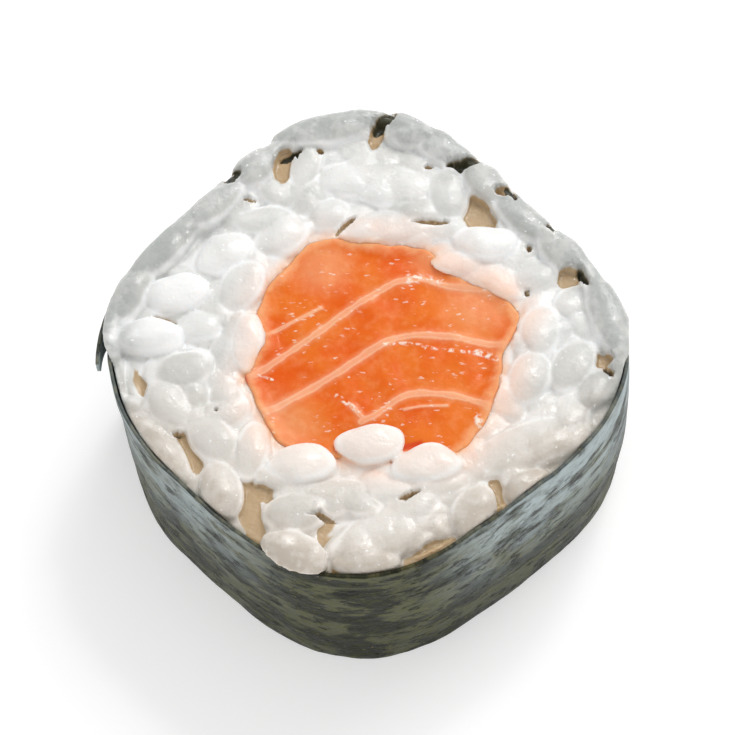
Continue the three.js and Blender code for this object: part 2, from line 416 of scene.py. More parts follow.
def makeRiceMaterial():
    look = riceLook
    material, tree, shader = newMaterial("sushi rice")
    place = objectPlace(tree)
    cloudy = mottle(tree, place, 420, 0.3, 0.75)
    middle = mathNode(tree, "SUBTRACT", 1.0, attributeValue(tree, "rim"))
    clearShare = multiply(tree, middle, attributeValue(tree, "clear"))
    front = axesOf(tree, place)["Y"]
    # painted shade: towards the front (-Y) the rice is tinted warmer and darker
    warm = rangeNode(tree, front, look["warmTo"] * mm, look["warmFrom"] * mm, 1.0, 0.0)
    warmShare = add(tree, multiply(tree, clearShare, look["clearWarmth"]), look["warmth"])
    warmShare = multiply(tree, warm, warmShare)
    colour = paint(tree, look, look["white"], warm=warmShare, clear=clearShare)
    # towards the rim the grey breaks up into clear and cloudy bits
    bits = mottle(tree, place, 1100, 0.35, 0.62)
    bits = add(tree, multiply(tree, bits, look["bits"][1]), look["bits"][0])
    grey = multiply(tree, attributeValue(tree, "tone"), bits)
    grey = add(tree, grey, multiply(tree, cloudy, look["cloud"]))
    inMiddle = add(tree, multiply(tree, middle, look["middleGrey"]), look["rimGrey"])
    grey = multiply(tree, grey, inMiddle, clamp=True)
    colour = colourMix(tree, grey, colour, colourMix(tree, warm, look["grey"], look["beige"]))
    # painted glints: white specks in clusters, laid into the colour
    clusters = mottle(tree, place, 500, 0.45, 0.62)
    glints = specks(tree, place, 3000, 0.3, 0.22)
    glints = multiply(tree, glints, multiply(tree, clusters, look["glints"]))
    stain = multiply(tree, attributeValue(tree, "stain"), add(tree, middle, 0.4), clamp=True)
    bleed = multiply(tree, attributeValue(tree, "bleed"), add(tree, cloudy, 0.35), clamp=True)
    # painted shade: tan down in the gaps, and nori-dark in the deep gaps at the rim
    gap = rangeNode(tree, attributeValue(tree, "gap"), 0.35, 0.65)
    shade = rangeNode(tree, attributeValue(tree, "shade"), 0.3, 0.7)
    colour = paint(tree, look, colour, glint=glints, pink=stain, peach=bleed, tan=gap, dark=shade)
    tree.links.new(colour, shader.inputs["Base Color"])
    rough = mottle(tree, place, 900, 0.3, 0.7)
    tree.links.new(rangeNode(tree, rough, 0, 1, 0.25, 0.5), shader.inputs["Roughness"])
    height = relief(tree, place, 900, 3200, 0.35)
    bumpFrom(tree, shader, height, look["relief"] * mm, 0.8)
    setSockets(
        shader, Subsurface_Weight=1.0, Subsurface_Radius=look["scatter"],
        Subsurface_Scale=look["scatterDepth"] * mm, Coat_Weight=0.2, Coat_Roughness=0.1,
    )
    return material


riceMaterial = makeRiceMaterial()

salmonShape = {
    "middle": (1.2, -0.3),
    "top": 15.6,
    "crown": 0.2,
    "ragged": 0.22,
    "reaches": (  # every 15 degrees from +X towards +Y
        9.0, 10.3, 9.5, 8.1, 8.2, 8.4, 8.2, 8.9, 9.7, 9.3, 9.3, 9.1,
        8.3, 9.7, 9.6, 10.0, 9.8, 9.0, 8.7, 9.0, 9.9, 9.8, 9.4, 9.0,
    ),
}


def salmonReach(angle):
    # smooth closed curve through the reaches
    reaches = salmonShape["reaches"]
    place = angle / fullTurn * len(reaches)
    step = math.floor(place)
    around = [reaches[(step + offset) % len(reaches)] for offset in (-1, 0, 1, 2)]
    return onCurve(*around, place - step) + salmonShape["ragged"] * ringNoise(angle, 7, 5)


def besideSalmon(angle, distance):
    return [middle + away for middle, away in zip(salmonShape["middle"], onCircle(angle, distance))]


def distanceToSalmon(x, y):
    dx, dy = x - salmonShape["middle"][0], y - salmonShape["middle"][1]
    return math.hypot(dx, dy) - salmonReach(turnOf(dx, dy))


# where the wrap lies on its own start, in degrees and millimetres
lap = {"innerEnd": 150, "outerEnd": 187, "step": 0.6, "fade": 28, "entering": 0.4}


def lapShare(angle):
    return 1 - smoothStep(lap["outerEnd"], lap["outerEnd"] + lap["fade"], math.degrees(angle))


def riceReach(angle):
    # outside of the rice, just inside the innermost layer of the wrap
    start = lap["innerEnd"] - lap["entering"] * lap["fade"]
    entering = smoothStep(start, lap["innerEnd"], math.degrees(angle))
    covered = lap["step"] * entering * lapShare(angle)
    return rollReach(angle) - rollShape["noriRoom"] - rollShape["gap"] - covered


grainKinds = {  # millimetres; top is the highest point, grains is how many are pressed into one
    "proud": {"length": 4.3, "width": 3.0, "top": 17.2},
    "plump": {"length": 4.1, "width": 3.2, "top": 16.8},
    "slim": {"length": 4.2, "width": 2.4, "top": 16.6},
    "short": {"length": 3.2, "width": 2.8, "top": 16.5},
    "pressed": {"length": 7.4, "width": 2.9, "top": 16.5, "grains": 2},
    "slab": {"length": 9.0, "width": 4.2, "top": 16.7, "grains": 3},
    "long": {"length": 9.0, "width": 3.8, "top": 16.7},
    "brim": {"length": 4.3, "width": 3.0, "top": 17.15, "height": 0.6},
    "rim": {"length": 4, "width": 2.6, "top": 17.0},
    "tucked": {"length": 3.8, "width": 2.8, "top": 16.2},
    "under": {"length": 4.0, "width": 2.7, "top": 16.2},
    "foot": {"length": 4.2, "width": 3.1, "top": 2.2},
}
grainHeight = 0.82  # share of the width, where the kind has none of its own

laidGrains = {  # x, y, turn in degrees
    "long": ((11.8, -7.9, 22),),
    "slab": ((2.4, -14.4, 28), (0.6, 12.9, -12)),
    "pressed": ((-14.2, -8, -52), (1.8, 9.4, 0), (8.4, 6, -28), (-1.5, -11.9, 0), (4.4, -11.2, 12)),
    "proud": (
        (-3.9, -9.6, 8), (0.9, -8.1, 5), (4.8, -9.5, 10), (8.6, 7.8, -5),
        (-15.2, 0, 5), (-13.4, 3.4, 15),
    ),
    "brim": ((-4, -16.2, -22),),
    "plump": (
        (-9.3, -11.6, -70), (8.2, -13, 75), (-13.4, -5.3, -58), (-10.2, -7.8, -50),
        (-12.5, -2.6, 15), (-10.2, 6.8, 35), (-6.1, 8.3, 35), (-8.8, 4.2, 60),
        (5.9, 11.9, 95), (12.6, 0.9, 80), (11.9, -2.7, 70), (14.9, -1.7, 60), (-4.1, -13.3, 4),
    ),
    "slim": (
        (-8.2, -0.2, 88), (-7.3, -8.7, 80), (-7.4, 9.6, 10), (-4.6, 14.3, 80), (0.9, -16.7, 5),
    ),
    "short": (
        (16.5, -3.6, 60), (11.7, -10.9, 50), (-11.6, 1, 0), (-2.8, 10.2, 20),
        (12.2, 5.3, 30), (15, 3.3, 40),
    ),
}
rimGrains = (  # along the back of the rim: angle round the roll in degrees, length
    (7, 5.6), (26, 4.2), (42, 4.6), (56, 3.8), (71, 3.6), (81, 3.2),
    (99, 7.4), (120, 3.4), (136, 4.4), (153, 6.5), (169, 4.8),
)
rimRule = {"overhang": 0.2, "turn": 0.05, "uneven": 0.1, "longer": 1.1}
riceOpenings = (  # places on the top cut where the rice is left open
    (-6.1, 14.6), (0.5, 17.2), (7.7, 10.4), (14.6, 5.3), (17.2, -1.4), (-15.8, -3.6),
    (-11.9, -8.3), (-6.9, -12.4), (-2, -14.9), (-1, -17.2), (6.5, -15.6), (9.9, -11.3),
    (6.9, 14.1), (10, 11.6), (13, 9), (-9.6, 12.6),
)
openingReach = {"tucked": 1.8, "under": 1.7}
scatterReach = 1.1  # the draw covers a square a little larger than the roll
scatterTilt = 0.4
tuckedGrains = {"seed": 7, "tries": 3000, "spacing": 2.3, "margin": 0.4, "lift": 0.3}
underGrains = {"seed": 3, "tries": 5000, "spacing": 1.75, "margin": 1.6, "lift": 0.5}
footGrains = {"seed": 11, "tries": 4000, "spacing": 2.8, "margin": 0.8, "lift": 0.2}


def makeDraw(seed):
    # repeatable draw from 0 to 1
    state = seed

    def draw():
        nonlocal state
        state = (state * 1664525 + 1013904223) % 4294967296
        return state / 4294967296

    return draw


def inRice(x, y, margin):
    return distanceToSalmon(x, y) > margin and math.hypot(x, y) < riceReach(turnOf(x, y)) - margin


def makeGrain(kind, x, y, turn, lift=0, tilt=0, **own):
    return {"kind": kind, "x": x, "y": y, "turn": turn, "lift": lift, "tilt": tilt, **own}


def scatterGrains(kind, rule, taken, kept):
    draw = makeDraw(rule["seed"])
    added = []
    for _ in range(rule["tries"]):
        x = (2 * draw() - 1) * rollShape["radius"] * scatterReach
        y = (2 * draw() - 1) * rollShape["radius"] * scatterReach
        turn = draw() * math.pi
        lift = (draw() - 0.5) * rule["lift"]
        tilt = (draw() - 0.5) * scatterTilt
        clear = all(math.hypot(g["x"] - x, g["y"] - y) > rule["spacing"] for g in taken + added)
        clear = clear and all(math.dist(opening, (x, y)) >= openingReach[kind] for opening in kept)
        if clear and inRice(x, y, rule["margin"]):
            added.append(makeGrain(kind, x, y, turn, lift, tilt))
    return added


def rimGrain(angleInDegrees, length):
    # lies along the outline and reaches past it, over the nori's edge
    angle, step = math.radians(angleInDegrees), math.radians(1)
    inset = grainKinds["rim"]["width"] / 2 - rimRule["overhang"]
    x, y = onCircle(angle, rollReach(angle) - inset)
    beforeX, beforeY = onCircle(angle - step, rollReach(angle - step) - inset)
    turn = math.atan2(y - beforeY, x - beforeX) + rimRule["turn"] * math.sin(angleInDegrees)
    width = grainKinds["rim"]["width"] * (1 + rimRule["uneven"] * math.cos(angleInDegrees))
    return makeGrain("rim", x, y, turn, length=length * rimRule["longer"], width=width)


def laidGrainList():
    laid = [
        makeGrain(kind, x, y, math.radians(turn))
        for kind, places in laidGrains.items()
        for x, y, turn in places
    ]
    return laid + [rimGrain(angle, length) for angle, length in rimGrains]


grainShape = {
    "around": 20,
    "along": 14,
    "longer": 1.16,  # pressed on its neighbours, a grain lies a little longer and wider
    "wider": 0.97,
    "squareness": 0.8,  # under 1 the top is flatter than an ellipsoid's
    "taper": 0.12,  # one end is blunter
    "belly": 0.06,
    "bow": 0.10,  # the grain bends along its length
    "dent": 0.22,  # unevenness, in millimetres
    "dentSize": 1.7,
    "dentStep": 7.3,  # how far the next grain lies in the noise
}
grainLook = {
    "step": 7919,  # from one grain to the next in the draw
    "seed": 17,
    "leastClear": 0.35,
    "proudGrey": 0.2,
    "proudPink": 0.3,
    "proudClear": {"proud": 0.35, "brim": 0.35, "slab": 0.8},
}


def grainTone(grain, number):
    # how grey, stained and clear it is, by chance; grains that lie proud are the whitest
    look = grainLook
    chance = makeDraw(number * look["step"] + look["seed"])
    chance()
    grey, pink = chance(), chance()
    clear = look["leastClear"] + (1 - look["leastClear"]) * chance()
    if grain["kind"] in look["proudClear"]:
        grey = look["proudGrey"]
        pink *= look["proudPink"]
        clear *= look["proudClear"][grain["kind"]]
    return grey, pink, clear


clumpShape = {  # shares of the clump's own length and width
    "seed": 91,
    "sunk": 0.1,
    "grainSunk": 0.05,
    "along": 0.66,
    "across": 0.3,
    "turn": 0.9,
    "tilt": 0.2,
    "lengths": {2: 0.62, 3: 0.5},
    "width": 0.78,
}


def splitGrain(grain, number):
    # of a clump that is pressed into one, the tops of its grains still stand out
    size = grainKinds[grain["kind"]]
    count = size.get("grains", 0)
    if not count:
        return [grain]
    shape = clumpShape
    chance = makeDraw(number + shape["seed"])
    pieces = [dict(grain, lift=grain["lift"] - shape["sunk"])]
    for i in range(count):
        along = ((i + 0.5) / count - 0.5) * shape["along"] * size["length"]
        across = (chance() - 0.5) * shape["across"] * size["width"]
        turn = grain["turn"]
        pieces.append(dict(
            grain,
            lift=grain["lift"] - shape["grainSunk"],
            x=grain["x"] + along * math.cos(turn) - across * math.sin(turn),
            y=grain["y"] + along * math.sin(turn) + across * math.cos(turn),
            turn=turn + (chance() - 0.5) * shape["turn"],
            tilt=(chance() - 0.5) * shape["tilt"],
            length=size["length"] * shape["lengths"][count],
            width=size["width"] * shape["width"],
        ))
    return pieces


def grainSize(grain):
    size = grainKinds[grain["kind"]]
    length, width = grain.get("length", size["length"]), grain.get("width", size["width"])
    return length, width, width * size.get("height", grainHeight), size["top"] + grain["lift"]


def flatPlace(grain, x, y):
    # seen from above: 0 in the middle of the grain, 1 on its outline
    length, width, _, _ = grainSize(grain)
    along, across = alongAcross(x - grain["x"], y - grain["y"], grain["turn"])
    along, across = along / length / grainShape["longer"], across / width / grainShape["wider"]
    return 2 * math.hypot(along, across)


def makeGrainPattern():
    # one grain of unit size that all the others copy
    bm = bmesh.new()
    bmesh.ops.create_uvsphere(
        bm, u_segments=grainShape["around"], v_segments=grainShape["along"], radius=0.5,
        matrix=Matrix.Rotation(math.pi / 2, 4, "Y"),
    )
    pattern = bpy.data.meshes.new("grain")
    bm.to_mesh(pattern)
    bm.free()
    return pattern


grainPattern = makeGrainPattern()


def addGrain(bm, grain, number):
    shape = grainShape
    length, width, height, top = grainSize(grain)
    before = len(bm.verts)
    bm.from_mesh(grainPattern)
    bm.verts.ensure_lookup_table()
    turn = Matrix.Rotation(grain["turn"], 3, "Z") @ Matrix.Rotation(grain["tilt"], 3, "Y")
    middle = Vector((grain["x"], grain["y"], top - height / 2))
    added = bm.verts[before:]
    for vert in added:
        x, y, z = vert.co
        full = 1 + shape["taper"] * 2 * x + shape["belly"] * (1 - 4 * x * x)
        y = y * full + shape["bow"] * 4 * x * x * (1 if number % 2 else -1)
        z = math.copysign(abs(2 * z) ** shape["squareness"] / 2, z) * min(full, 1)
        place = Vector((x * length * shape["longer"], y * width * shape["wider"], z * height))
        own = place / shape["dentSize"] + Vector((number * shape["dentStep"], 0, 0))
        vert.co = middle + turn @ (place + noise.noise_vector(own) * shape["dent"])
    return added


salmonRoom = {"side": 0.05, "above": 0.12}


def pushOutOfSalmon(vert, mayLieOver):
    # no grain enters the salmon: it stops at its side, or lies over its face
    dx, dy = vert.co.x - salmonShape["middle"][0], vert.co.y - salmonShape["middle"][1]
    angle = turnOf(dx, dy)
    depthIn = salmonReach(angle) + salmonRoom["side"] - math.hypot(dx, dy)
    face = salmonShape["top"] + salmonShape["crown"] + salmonRoom["above"]
    if depthIn > 0 and (vert.co.z < face or not mayLieOver):
        if mayLieOver and face - vert.co.z < depthIn:
            vert.co.z = face
        else:
            vert.co.x += depthIn * math.cos(angle)
            vert.co.y += depthIn * math.sin(angle)


wrapRule = {
    "slack": 0.35,
    "lean": 0.9,
    "edge": (-0.1, 0.25),  # heights from the nori's edge, between which the leaning starts
    "back": (-0.25, 0.1),  # sine of the angle: it leans over along the back
    "brim": 256,  # and at one place in front, in degrees
    "brimReach": 9,
}


def keepInWrap(vert):
    # below the nori's edge the rice stays inside it, above the edge it may lean over it
    rule = wrapRule
    angle, radius = polarOf(vert.co)
    low, high = (edgeHeight(angle) + rise for rise in rule["edge"])
    free = smoothStep(*rule["back"], math.sin(angle))
    free += math.exp(-((math.degrees(angle) - rule["brim"]) / rule["brimReach"]) ** 2)
    limit = riceReach(angle) + rule["slack"] + smoothStep(low, high, vert.co.z) * free * rule["lean"]
    if radius > limit:
        vert.co.x *= limit / radius
        vert.co.y *= limit / radius


bedShape = {
    "around": 160,
    "across": 16,
    "inset": 0.02,
    "outset": 0.3,
    "lip": 0.4,  # the lip lies over the salmon's edge
    "lipFloor": 15.6,
    "lipTop": 15.92,
    "lipUneven": 1.6,
    "leastLip": 0.5,
}


def addBed(bm, bottom, top, withLip):
    # a closed profile is spun round, then pushed out between the salmon and the wrap
    shape = bedShape
    across = [i / shape["across"] for i in range(shape["across"] + 1)]
    profile = [(share, top) for share in across] + [(share, bottom) for share in reversed(across)]
    if withLip:
        profile += [(0, shape["lipFloor"]), (-0.01, shape["lipTop"])]
    for vert in spinProfile(bm, [(1 + share, z) for share, z in profile], shape["around"]):
        angle, radius = polarOf(vert.co)
        inner = salmonReach(angle) + shape["inset"]
        if radius < 0.995:
            inner -= shape["lip"] * max(1 + shape["lipUneven"] * ringNoise(angle, 6, 2), shape["leastLip"])
        innerX, innerY = besideSalmon(angle, inner)
        outerX, outerY = onCircle(angle, riceReach(angle) + shape["outset"])
        share = max(radius - 1, 0)
        vert.co.x = innerX + share * (outerX - innerX)
        vert.co.y = innerY + share * (outerY - innerY)


riceRidge = {
    "sides": 12,
    "halfWidth": 0.9,
    "halfHeight": 0.9,
    "inset": 0.7,
    "rise": 0.85,
    "drop": 0.9,
    "uneven": 0.25,
    "back": (-0.35, 0.05),  # sine of the angle
}


def addRidge(bm):
    # along the back the rice swells over the nori's edge, in front it lies under it
    shape = riceRidge
    turns = [fullTurn * i / shape["sides"] for i in range(shape["sides"])]
    profile = [(1 + 0.5 * math.cos(turn), 0.5 * math.sin(turn)) for turn in turns]
    for vert in spinProfile(bm, profile, bedShape["around"]):
        angle, radius = polarOf(vert.co)
        back = smoothStep(*shape["back"], math.sin(angle))
        top = edgeHeight(angle) - shape["drop"] + back * (shape["drop"] + shape["rise"])
        top += shape["uneven"] * ringNoise(angle, 9, 1)
        height = top - shape["halfHeight"] + 2 * vert.co.z * shape["halfHeight"]
        radius = rollReach(angle) - shape["inset"] + 2 * (radius - 1) * shape["halfWidth"]
        vert.co = (*onCircle(angle, radius), height)
        keepInWrap(vert)


riceGaps = (  # x, y, half length, half width, turn in degrees, how much dark painted shade it takes
    (-6.2, 14.2, 1.0, 0.5, 80, 0), (-5.7, 15.1, 0.8, 0.25, 25, 1), (0.5, 16.9, 0.8, 0.35, 75, 0),
    (1.1, 17.9, 0.8, 0.3, 40, 1), (6.9, 14.4, 0.8, 0.32, 10, 1), (6.4, 14.2, 0.5, 0.3, 0, 0),
    (10.4, 11.9, 0.6, 0.28, -50, 1), (9.9, 12, 0.4, 0.3, 0, 0), (13.4, 9.1, 0.5, 0.25, -40, 1),
    (8.1, 10.2, 1.3, 0.7, -55, 0), (14.6, 5.3, 0.6, 0.5, 0, 0), (15.7, 5.2, 0.8, 0.22, -65, 1),
    (16.9, -1.2, 0.6, 0.35, 0, 0), (17.5, -2.1, 0.5, 0.25, -50, 0.6),
    (-15.6, -3.6, 0.7, 0.35, -55, 0.1), (-11.9, -8.6, 1.4, 0.45, -58, 0.1),
    (-12.6, -7.5, 0.3, 0.2, 0, 0.5), (-7.3, -12.9, 2.0, 0.6, -72, 0),
    (-6.2, -11.9, 0.8, 0.4, -25, 0), (-1.9, -14.8, 1.3, 0.4, 97, 0), (-0.8, -17.2, 0.5, 0.3, 20, 0),
    (-2, -13.6, 0.8, 0.2, -20, 0.3), (5.8, -16, 1.9, 0.6, 28, 0), (10, -12, 1.5, 0.38, -72, 0.2),
    (3.8, -11.8, 0.7, 0.18, 25, 0.2), (-1.5, 9.3, 0.9, 0.2, 45, 0.2), (4.6, 9.6, 1.2, 0.2, 0, 0.1),
    (11.8, 7.6, 0.25, 0.2, 80, 0.4), (4.4, 14.2, 0.3, 0.22, 0, 0.2),
    (-14.1, 1.4, 0.8, 0.18, -15, 0.1), (-8.6, 11.3, 0.4, 0.15, 0, 0.2),
    (-3.6, 15.4, 0.25, 0.25, 0, 0.3), (-9.9, 13, 0.5, 0.3, 50, 1), (-10, -5.6, 0.16, 0.16, 0, 0.4),
    (11.7, 4.1, 0.2, 0.25, 0, 0.3),
)
# floor heights of the gaps with tan and with dark painted shade
gapDepth = {"tan": 15.6, "dark": 15.1}
gapEdge = {
    "farthest": 3,  # beyond this along X or Y a point is in no gap
    "wide": 0.3,
    "swell": 1.4,
    "ragged": 0.3,
    "raggedSize": 0.6,
    "fade": (1.25, 0.85),
    "beside": (0.9, 1.06),  # a wide gap ends at the grains beside it
}


def gapAt(x, y, laid):
    # how far a point of the top cut lies in a gap between grains, and how much dark painted shade it takes
    # there
    rule = gapEdge
    gap, shade = 0, 0
    for gx, gy, halfLength, halfWidth, turn, darkness in riceGaps:
        dx, dy = x - gx, y - gy
        if max(abs(dx), abs(dy)) > rule["farthest"]:
            continue
        along, across = alongAcross(dx, dy, math.radians(turn))
        off = math.hypot(along / halfLength, across / halfWidth)
        off += rule["ragged"] * noise.noise(Vector((x, y, 4)) / rule["raggedSize"])
        wide = halfWidth >= rule["wide"]
        inside = smoothStep(*rule["fade"], off / rule["swell"] if wide else off)
        if wide and inside > 0:
            inside *= smoothStep(*rule["beside"], min(flatPlace(grain, x, y) for grain in laid))
        gap = max(gap, inside)
        shade = max(shade, inside * darkness)
    return gap, shade


riceTone = {  # pairs are the values where a share starts and where it is full
    "neighbours": 7,
    "sharpness": 20,
    "grey": 0.25,
    "rim": 0.5,
    "corner": 0.22,
    "rimBand": (3.6, 0.6),
    "stain": 0.7,
    "leastStain": 0.1,
    "stainBand": (3.0, 0.2),
    "bleed": 0.9,
    "bleedBand": (1.0, -0.2),
    "bleedHeight": (16.5, 15.7),
    "outline": (0.7, 0.92),
    "pastOutline": (1.3, 1.0),
    "outlineBand": (0.2, 1.6),
    # where the painted shade lies low beside the wrap
    "wrapBand": (1.9, 1.2),
    "wrapTop": (15.2, 14.8),
    "wrapFoot": (8, 9),
    "edgeBand": (0.9, 0.5),
    "gapsFrom": 12,
    "pressedFrom": 15.8,
    "pressed": 0.2,
    "pressedBand": (1.5, 3.0),
}


def blendLooks(place, tree, grains, looks):
    # grey, pink, clear and outline of the grains beside a point, nearest surface first
    sums, total = [0, 0, 0, 0], 0
    for _, i, _ in tree.find_n((place.x, place.y, 0), riceTone["neighbours"]):
        _, _, height, top = grainSize(grains[i])
        flat = flatPlace(grains[i], place.x, place.y)
        off = math.hypot(flat, 2 * (place.z - top) / height + 1) - 1
        weight = math.exp(-abs(off) * riceTone["sharpness"]) + 1e-9
        outline = smoothStep(*riceTone["outline"], flat) * smoothStep(*riceTone["pastOutline"], flat)
        total += weight
        sums = [found + weight * value for found, value in zip(sums, (*looks[i], outline))]
    return [found / total for found in sums]


def markRice(piece, grains):
    # every point takes the looks of the grains that it lies on, and the gaps are let in
    tone = riceTone
    tree = kdtree.KDTree(len(grains))
    for i, grain in enumerate(grains):
        tree.insert((grain["x"], grain["y"], 0), i)
    tree.balance()
    looks = [grainTone(grain, i) for i, grain in enumerate(grains)]
    laid = [grain for grain in grains if grain["kind"] in laidGrains]
    marks = {"tone": [], "stain": [], "bleed": [], "clear": [], "rim": [], "gap": [], "shade": []}
    for vert in piece.data.vertices:
        place = vert.co / mm
        x, y, z = place
        grey, pink, clear, outline = blendLooks(place, tree, grains, looks)
        angle, radius = polarOf(place)
        nearRim, nearSalmon = rollReach(angle) - radius, distanceToSalmon(x, y)
        rimTone = tone["rim"] + tone["corner"] * math.cos(2 * angle) ** 2
        stain = tone["leastStain"] + tone["stain"] * pink
        bleed = tone["bleed"] * smoothStep(*tone["bleedHeight"], z)
        gap, shade = gapAt(x, y, laid) if z > tone["gapsFrom"] else (0, 0)
        floor = gapDepth["tan"] + shade * (gapDepth["dark"] - gapDepth["tan"])
        # over the nori's edge a gap is no deeper than that edge
        floor += max(edgeHeight(angle) - floor, 0) * smoothStep(*tone["edgeBand"], nearRim)
        # the heap is pressed a little flatter than the single grains
        low = tone["pressedFrom"]
        if z > low:
            z -= (z - low) * tone["pressed"] * smoothStep(*tone["pressedBand"], nearRim)
        if gap > 0 and z > floor:
            z -= (z - floor) * gap
        vert.co.z = z * mm
        # painted shade: the rice low down beside the wrap is darkened, as are the dark gaps
        shadeByWrap = smoothStep(*tone["wrapBand"], nearRim) * smoothStep(*tone["wrapTop"], z)
        marks["tone"].append(tone["grey"] * grey + rimTone * smoothStep(*tone["rimBand"], nearRim))
        marks["stain"].append(stain * smoothStep(*tone["stainBand"], nearSalmon))
        marks["bleed"].append(bleed * smoothStep(*tone["bleedBand"], nearSalmon))
        marks["clear"].append(clear)
        marks["rim"].append(outline * smoothStep(*tone["outlineBand"], nearRim))
        marks["gap"].append(gap)
        marks["shade"].append(max(shadeByWrap * smoothStep(*tone["wrapFoot"], z), shade))
    for name, values in marks.items():
        writeAttribute(piece, name, values)


# bed: bottom, top and whether it has a lip; voxel in millimetres; kept is the share of the triangles
riceTopShape = {"bed": (14.5, 15.65, True), "voxel": 0.125, "kept": 0.56}
riceFootShape = {"bed": (0.7, 1.7, False), "voxel": 0.25, "kept": 0.6, "floor": 0.02}


def makeRice(name, grains, shape):
    # grains and their bed, melted into one surface as pressed rice is
    bm = bmesh.new()
    for number, grain in enumerate(grains):
        for vert in addGrain(bm, grain, number):
            keepInWrap(vert)
            pushOutOfSalmon(vert, grain["kind"] in laidGrains)
            if "floor" in shape:
                vert.co.z = max(vert.co.z, shape["floor"])  # pressed flat on the surface below
    addBed(bm, *shape["bed"])
    if "floor" not in shape:
        addRidge(bm)
    bmesh.ops.recalc_face_normals(bm, faces=bm.faces)
    piece = finishPiece(bm, name, riceMaterial, "rice", "rice")
    melt = piece.modifiers.new("melt", "REMESH")
    melt.mode = "VOXEL"
    melt.voxel_size = shape["voxel"] * mm
    soften = piece.modifiers.new("soften", "SMOOTH")
    soften.factor = 0.5
    soften.iterations = 3
    thin = piece.modifiers.new("thin", "DECIMATE")
    thin.ratio = shape["kept"]
    applyModifiers(piece)
    markRice(piece, grains)
    return piece


topGrains = laidGrainList()
topGrains += scatterGrains("tucked", tuckedGrains, topGrains, riceOpenings)
topGrains = [piece for number, grain in enumerate(topGrains) for piece in splitGrain(grain, number)]
topGrains += scatterGrains("under", underGrains, [], riceOpenings)
bottomGrains = scatterGrains("foot", footGrains, [], ())
riceTop = makeRice("riceTop", topGrains, riceTopShape)
riceFoot = makeRice("riceFoot", bottomGrains, riceFootShape)
for piece in (riceTop, riceFoot):
    piece.data.calc_loop_triangles()
    print(piece.name, "made:", len(piece.data.loop_triangles), "triangles")


riceCoreBed = (1.2, 14.6, False)


def makeRiceCore():
    bm = bmesh.new()
    addBed(bm, *riceCoreBed)
    bmesh.ops.recalc_face_normals(bm, faces=bm.faces)
    return finishPiece(bm, "riceCore", riceMaterial, "rice")


riceCore = makeRiceCore()
print("rice done")


# salmon
salmonLook = {
    "flesh": (0.76, 0.165, 0.014),
    "deep": (0.73, 0.10, 0.004),
    "pale": (0.86, 0.40, 0.19),
    "fat": (0.92, 0.58, 0.38),
    # painted highlights, where the flesh glints wet
    "white": (0.95, 0.85, 0.76),
    "red": (0.60, 0.02, 0.01),
    "scatter": (1.0, 0.35, 0.15),
    "scatterDepth": 0.8,  # millimetres
    "shine": (1, 0.72, 0.45, 1),
    "streaks": (0.55, 1.25),
    "streakTurn": -18,
    "relief": 0.12,  # millimetres
}
salmonMarks = {  # half width in millimetres, then points of the mark across the cut
    "fat": (
        (0.2, (
            (-8, -3.1), (-6.8, -2.2), (-5, -0.8), (-3, 0.8), (-1, 2.5), (1, 4), (2.5, 4.9),
            (4.2, 5.1), (6, 4.6), (8.2, 4.4), (10, 4.1),
        )),
        (0.22, (
            (-7.6, -6.1), (-6.2, -5.4), (-4.5, -4.4), (-2.5, -3.1), (-1, -2), (0.5, -0.8),
            (2, 0.2), (3.7, 0.6), (6.2, 0.6), (8.7, 0.1), (10.2, -0.1),
        )),
        (0.2, ((0.2, -6.2), (1.5, -5.4), (3, -4.2), (4.5, -3.9), (6.5, -4), (8.4, -4.5), (9.4, -5))),
        (0.08, ((3.2, -5.2), (4.6, -4.9), (6.2, -4.8))),
        (0.14, ((-0.5, -5), (0.5, -6.1))),
        (0.10, ((-7.6, 0), (-6.7, 0.5), (-5, 1.5), (-3, 2.7))),
    ),
    # the white marks are painted highlights along the fat
    "white": (
        (0.30, ((3.2, 5.15), (4.2, 5.25), (5.3, 5.0))),
        (0.12, ((1.6, -0.2), (2.8, 0), (4.2, -0.1))),
        (0.12, ((4.6, -0.3), (6, -0.5), (7.6, -0.6))),
        (0.22, ((8.2, -0.6), (9, -0.8), (9.6, -1.1))),
        (0.26, ((8.2, -5.1), (8.3, -5.8), (8.5, -6.4))),
        (0.14, ((-1.6, -4.2), (-0.8, -4.8), (0, -5.4))),
        (0.08, ((-7.2, -2.7), (-6.2, -3))),
    ),
    "red": (
        (0.35, ((-8.5, -2.6), (-8.2, -3.3))),
        (0.22, ((2.9, -8.0), (3.4, -8.0), (4.4, -7.7))),
    ),
}
# where the flesh is paler: x, y, reach
paleSpots = ((8.5, 3.5, 4.5), (5, 7, 3), (-5.5, -7, 4.5), (-3, 6, 3.5))


def smoothPath(path, steps=4):
    # points on the smooth curve through the path's own points
    points = [Vector(p) for p in path]
    points = [2 * points[0] - points[1], *points, 2 * points[-1] - points[-2]]
    found = []
    for around in zip(points, points[1:], points[2:], points[3:]):
        found += [tuple(onCurve(*around, i / steps)) for i in range(steps)]
    return found + [tuple(path[-1])]


def distanceToMarks(places, marks):
    # least distance of every place to a mark, in half widths of that mark
    best = numpy.full(len(places), 99.0)
    for half, path in marks:
        line = numpy.array(smoothPath(path))
        for start, end in zip(line, line[1:]):
            way = end - start
            share = numpy.clip((places - start) @ way / (way @ way), 0, 1)
            away = numpy.linalg.norm(places - start - share[:, None] * way, axis=1)
            best = numpy.minimum(best, away / half)
    return best


def paleShares(places):
    share = numpy.zeros(len(places))
    for x, y, reach in paleSpots:
        away = numpy.hypot(places[:, 0] - x, places[:, 1] - y) / reach
        share = numpy.maximum(share, numpy.clip(1 - away, 0, 1))
    return share


